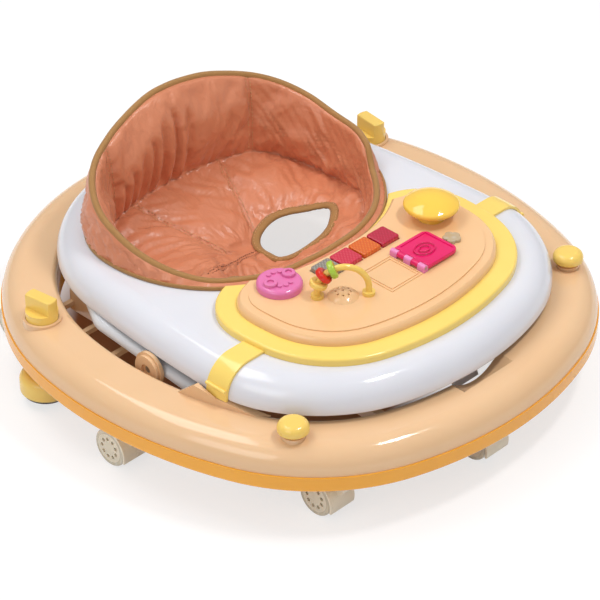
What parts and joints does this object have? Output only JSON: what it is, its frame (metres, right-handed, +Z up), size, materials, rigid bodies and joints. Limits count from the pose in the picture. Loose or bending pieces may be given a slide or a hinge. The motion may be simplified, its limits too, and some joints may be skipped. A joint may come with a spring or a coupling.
{
  "type": "baby walker",
  "caption": "Low baby walker: oval base ring on swivel casters, scissor lifting frame, tray with a lift-off toy panel, and a padded seat with leg holes.",
  "frame": {"origin": "on the floor below the middle of the base", "axes": "+Z up, -Y the way the child faces, +X the child's left"},
  "size_m": [0.622, 0.661, 0.26],
  "materials": {
    "peach_plastic": "gloss",
    "amber_plastic": "gloss",
    "white_plastic": "gloss",
    "cream_plastic": "satin",
    "yellow_plastic": "gloss",
    "bezel_yellow": "gloss",
    "pink_plastic": "gloss",
    "magenta_plastic": "gloss",
    "green_plastic": "gloss",
    "red_plastic": "gloss",
    "orange_plastic": "gloss",
    "clear_plastic": "clear",
    "wheel_plastic": "clear tyre on a cream disc",
    "grey_plastic": "matte",
    "tube_white": "powder coat",
    "steel": "zinc plated",
    "foot_rubber": "matte",
    "seat_cloth": "satin weave"
  },
  "bodies": {
    "base": {"base_ring": "peach_plastic", "base_rim": "amber_plastic", "caster_sockets": "cream_plastic"},
    "caster_1": {"caster_fork_1": "cream_plastic"},
    "wheels_1": {"caster_wheels_1": "wheel_plastic"},
    "caster_2": {"caster_fork_2": "cream_plastic"},
    "wheels_2": {"caster_wheels_2": "wheel_plastic"},
    "caster_3": {"caster_fork_3": "cream_plastic"},
    "wheels_3": {"caster_wheels_3": "wheel_plastic"},
    "caster_4": {"caster_fork_4": "cream_plastic"},
    "wheels_4": {"caster_wheels_4": "wheel_plastic"},
    "caster_5": {"caster_fork_5": "cream_plastic"},
    "wheels_5": {"caster_wheels_5": "wheel_plastic"},
    "caster_6": {"caster_fork_6": "cream_plastic"},
    "wheels_6": {"caster_wheels_6": "wheel_plastic"},
    "caster_7": {"caster_fork_7": "cream_plastic"},
    "wheels_7": {"caster_wheels_7": "wheel_plastic"},
    "caster_8": {"caster_fork_8": "cream_plastic"},
    "wheels_8": {"caster_wheels_8": "wheel_plastic"},
    "brake_knob_right": {"brake_knob_right": "yellow_plastic"},
    "brake_foot_right": {"brake_foot_right": "yellow_plastic", "brake_pad_right": "foot_rubber"},
    "stop_button_right": {"stop_button_right": "yellow_plastic"},
    "brake_knob_left": {"brake_knob_left": "yellow_plastic"},
    "brake_foot_left": {"brake_foot_left": "yellow_plastic", "brake_pad_left": "foot_rubber"},
    "stop_button_left": {"stop_button_left": "yellow_plastic"},
    "outer_frame": {"outer_frame": "tube_white", "outer_shoes": "grey_plastic", "pivot_bolts": "steel", "pivot_discs": "peach_plastic"},
    "inner_frame": {"inner_frame": "tube_white", "inner_shoes": "grey_plastic"},
    "tray": {"upper_tray": "white_plastic", "tray_rails": "white_plastic", "frame_clamps": "white_plastic", "seat_back": "seat_cloth", "seat_sling": "seat_cloth"},
    "height_lever": {"height_lever": "white_plastic"},
    "toy_tray": {"toy_bezel": "bezel_yellow", "toy_panel": "peach_plastic", "sound_box": "grey_plastic", "book_spine": "pink_plastic", "book_pin": "steel", "bead_arch": "yellow_plastic", "speaker_cover": "cream_plastic", "flower_lens": "clear_plastic"},
    "dial": {"dial": "pink_plastic"},
    "key_1": {"key_1": "clear_plastic"},
    "key_2": {"key_2": "red_plastic"},
    "key_3": {"key_3": "orange_plastic"},
    "key_4": {"key_4": "red_plastic"},
    "book_page": {"book_page": "magenta_plastic"},
    "push_dome": {"push_dome": "yellow_plastic"},
    "bead_green": {"bead_green": "green_plastic"},
    "bead_red": {"bead_red": "red_plastic"},
    "bead_yellow": {"bead_yellow": "yellow_plastic"}
  },
  "joints": [
    {"name": "caster_1_swivel", "type": "hinge", "parent": "base", "child": "caster_1", "pos_m": [0, -0.2985, 0.0557], "axis": [0, 0, 1], "continuous": true},
    {"name": "wheels_1_spin", "type": "hinge", "parent": "caster_1", "child": "wheels_1", "pos_m": [0, -0.2765, 0.022], "axis": [1, 0, 0], "continuous": true},
    {"name": "caster_2_swivel", "type": "hinge", "parent": "base", "child": "caster_2", "pos_m": [0.18413, -0.24568, 0.0557], "axis": [0, 0, 1], "continuous": true},
    {"name": "wheels_2_spin", "type": "hinge", "parent": "caster_2", "child": "wheels_2", "pos_m": [0.18413, -0.22368, 0.022], "axis": [1, 0, 0], "continuous": true},
    {"name": "caster_3_swivel", "type": "hinge", "parent": "base", "child": "caster_3", "pos_m": [-0.18413, -0.24568, 0.0557], "axis": [0, 0, 1], "continuous": true},
    {"name": "wheels_3_spin", "type": "hinge", "parent": "caster_3", "child": "wheels_3", "pos_m": [-0.18413, -0.22368, 0.022], "axis": [1, 0, 0], "continuous": true},
    {"name": "caster_4_swivel", "type": "hinge", "parent": "base", "child": "caster_4", "pos_m": [0.27746, -0.03042, 0.0557], "axis": [0, 0, 1], "continuous": true},
    {"name": "wheels_4_spin", "type": "hinge", "parent": "caster_4", "child": "wheels_4", "pos_m": [0.27746, -0.00842, 0.022], "axis": [1, 0, 0], "continuous": true},
    {"name": "caster_5_swivel", "type": "hinge", "parent": "base", "child": "caster_5", "pos_m": [-0.27746, -0.03042, 0.0557], "axis": [0, 0, 1], "continuous": true},
    {"name": "wheels_5_spin", "type": "hinge", "parent": "caster_5", "child": "wheels_5", "pos_m": [-0.27746, -0.00842, 0.022], "axis": [1, 0, 0], "continuous": true},
    {"name": "caster_6_swivel", "type": "hinge", "parent": "base", "child": "caster_6", "pos_m": [0.20208, 0.21854, 0.0557], "axis": [0, 0, 1], "continuous": true},
    {"name": "wheels_6_spin", "type": "hinge", "parent": "caster_6", "child": "wheels_6", "pos_m": [0.20208, 0.24054, 0.022], "axis": [1, 0, 0], "continuous": true},
    {"name": "caster_7_swivel", "type": "hinge", "parent": "base", "child": "caster_7", "pos_m": [-0.20208, 0.21854, 0.0557], "axis": [0, 0, 1], "continuous": true},
    {"name": "wheels_7_spin", "type": "hinge", "parent": "caster_7", "child": "wheels_7", "pos_m": [-0.20208, 0.24054, 0.022], "axis": [1, 0, 0], "continuous": true},
    {"name": "caster_8_swivel", "type": "hinge", "parent": "base", "child": "caster_8", "pos_m": [0, 0.2985, 0.0557], "axis": [0, 0, 1], "continuous": true},
    {"name": "wheels_8_spin", "type": "hinge", "parent": "caster_8", "child": "wheels_8", "pos_m": [0, 0.2765, 0.022], "axis": [1, 0, 0], "continuous": true},
    {"name": "brake_knob_right_turn", "type": "hinge", "parent": "base", "child": "brake_knob_right", "pos_m": [-0.25986, 0.1298, 0.107], "axis": [0, 0, 1], "range_deg": [0, 90]},
    {"name": "brake_foot_right_drop", "type": "slide", "parent": "base", "child": "brake_foot_right", "axis": [0, 0, -1], "range_m": [0, 0.01]},
    {"name": "stop_button_right_press", "type": "slide", "parent": "base", "child": "stop_button_right", "axis": [0, 0, -1], "range_m": [0, 0.0045], "stiffness_N_per_m": 500, "springref_m": -0.0015},
    {"name": "brake_knob_left_turn", "type": "hinge", "parent": "base", "child": "brake_knob_left", "pos_m": [0.25986, 0.1298, 0.107], "axis": [0, 0, 1], "range_deg": [0, 90]},
    {"name": "brake_foot_left_drop", "type": "slide", "parent": "base", "child": "brake_foot_left", "axis": [0, 0, -1], "range_m": [0, 0.01]},
    {"name": "stop_button_left_press", "type": "slide", "parent": "base", "child": "stop_button_left", "axis": [0, 0, -1], "range_m": [0, 0.0045], "stiffness_N_per_m": 500, "springref_m": -0.0015},
    {"name": "fold", "type": "hinge", "parent": "base", "child": "outer_frame", "pos_m": [0, -0.1717, 0.0844], "axis": [1, 0, 0], "range_deg": [0, 38.5]},
    {"name": "cross", "type": "hinge", "parent": "outer_frame", "child": "inner_frame", "pos_m": [0, -0.0117, 0.0984], "axis": [1, 0, 0], "range_deg": [-77, 0]},
    {"name": "tray_tilt", "type": "hinge", "parent": "inner_frame", "child": "tray", "pos_m": [0, -0.1717, 0.1124], "axis": [1, 0, 0], "range_deg": [0, 38.5]},
    {"name": "lever_pull", "type": "hinge", "parent": "tray", "child": "height_lever", "pos_m": [0, -0.234, 0.127], "axis": [1, 0, 0], "range_deg": [0, 12], "stiffness_Nm_per_rad": 0.5, "springref_deg": -5.73},
    {"name": "toy_tray_lift", "type": "slide", "parent": "tray", "child": "toy_tray", "axis": [0, 0, 1], "range_m": [0, 0.06]},
    {"name": "dial_turn", "type": "hinge", "parent": "toy_tray", "child": "dial", "pos_m": [-0.101, -0.076, 0.17], "axis": [0, 0, 1], "continuous": true},
    {"name": "key_1_press", "type": "slide", "parent": "toy_tray", "child": "key_1", "axis": [0, 0, -1], "range_m": [0, 0.0025], "stiffness_N_per_m": 400, "springref_m": -0.0015},
    {"name": "key_2_press", "type": "slide", "parent": "toy_tray", "child": "key_2", "axis": [0, 0, -1], "range_m": [0, 0.0025], "stiffness_N_per_m": 400, "springref_m": -0.0015},
    {"name": "key_3_press", "type": "slide", "parent": "toy_tray", "child": "key_3", "axis": [0, 0, -1], "range_m": [0, 0.0025], "stiffness_N_per_m": 400, "springref_m": -0.0015},
    {"name": "key_4_press", "type": "slide", "parent": "toy_tray", "child": "key_4", "axis": [0, 0, -1], "range_m": [0, 0.0025], "stiffness_N_per_m": 400, "springref_m": -0.0015},
    {"name": "page_flip", "type": "hinge", "parent": "toy_tray", "child": "book_page", "pos_m": [0.028, -0.144, 0.175], "axis": [0, -1, 0], "range_deg": [0, 180]},
    {"name": "dome_press", "type": "slide", "parent": "toy_tray", "child": "push_dome", "axis": [0, 0, -1], "range_m": [0, 0.0035], "stiffness_N_per_m": 800, "springref_m": -0.002},
    {"name": "bead_green_slide", "type": "hinge", "parent": "toy_tray", "child": "bead_green", "pos_m": [-0.0655, -0.1355, 0.179], "axis": [0.6293, 0.7771, 0], "range_deg": [0, 98]},
    {"name": "bead_red_slide", "type": "hinge", "parent": "toy_tray", "child": "bead_red", "pos_m": [-0.0655, -0.1355, 0.179], "axis": [0.6293, 0.7771, 0], "range_deg": [0, 98]},
    {"name": "bead_yellow_slide", "type": "hinge", "parent": "toy_tray", "child": "bead_yellow", "pos_m": [-0.0655, -0.1355, 0.179], "axis": [0.6293, 0.7771, 0], "range_deg": [0, 98]}
  ],
  "couplings": [
    {"joint": "brake_knob_right_turn", "follows": "brake_foot_right_drop", "rad_per_m": 157.08},
    {"joint": "brake_knob_left_turn", "follows": "brake_foot_left_drop", "rad_per_m": 157.08},
    {"joint": "cross", "follows": "fold", "ratio": -2},
    {"joint": "tray_tilt", "follows": "fold", "ratio": 1},
    {"joint": "bead_red_slide", "follows": "bead_green_slide", "ratio": 1},
    {"joint": "bead_yellow_slide", "follows": "bead_green_slide", "ratio": 1}
  ]
}
